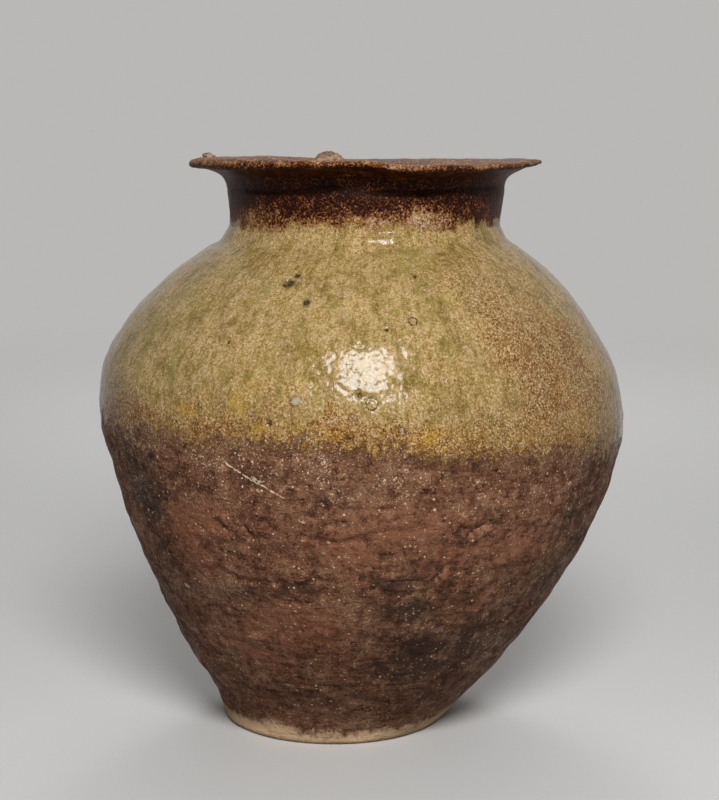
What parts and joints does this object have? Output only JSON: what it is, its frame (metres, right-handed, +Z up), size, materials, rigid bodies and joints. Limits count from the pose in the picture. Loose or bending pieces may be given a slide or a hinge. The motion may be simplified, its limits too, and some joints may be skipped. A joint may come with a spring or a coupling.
{
  "type": "storage jar",
  "caption": "Hand-built stoneware storage jar with a small foot, broad glazed shoulder, short neck and wide everted mouth.",
  "frame": {"origin": "centre of the foot's flat underside, where the jar rests", "axes": "+Z up through the mouth; +X to the right and -Y towards the viewer in the picture"},
  "size_m": [0.4218, 0.4212, 0.4578],
  "materials": {
    "foot_clay": "bare fired clay, pale and gritty",
    "bare_stoneware": "bare red-brown stoneware with pale grit",
    "neck_clay": "dark brown stoneware, slight ash sheen",
    "ash_glaze": "glossy olive and ochre natural ash glaze",
    "kiln_debris": "rough fused clay crumbs"
  },
  "bodies": {
    "root": {"floor_slab": "foot_clay", "lower_wall": "bare_stoneware", "middle_wall": "bare_stoneware", "belly_wall": "bare_stoneware", "shoulder_wall": "bare_stoneware", "upper_shoulder": "bare_stoneware", "neck_collar": "neck_clay", "mouth_rim": "neck_clay", "ash_glaze_coat": "ash_glaze", "kiln_debris_back": "kiln_debris", "kiln_debris_side": "kiln_debris"}
  },
  "joints": []
}
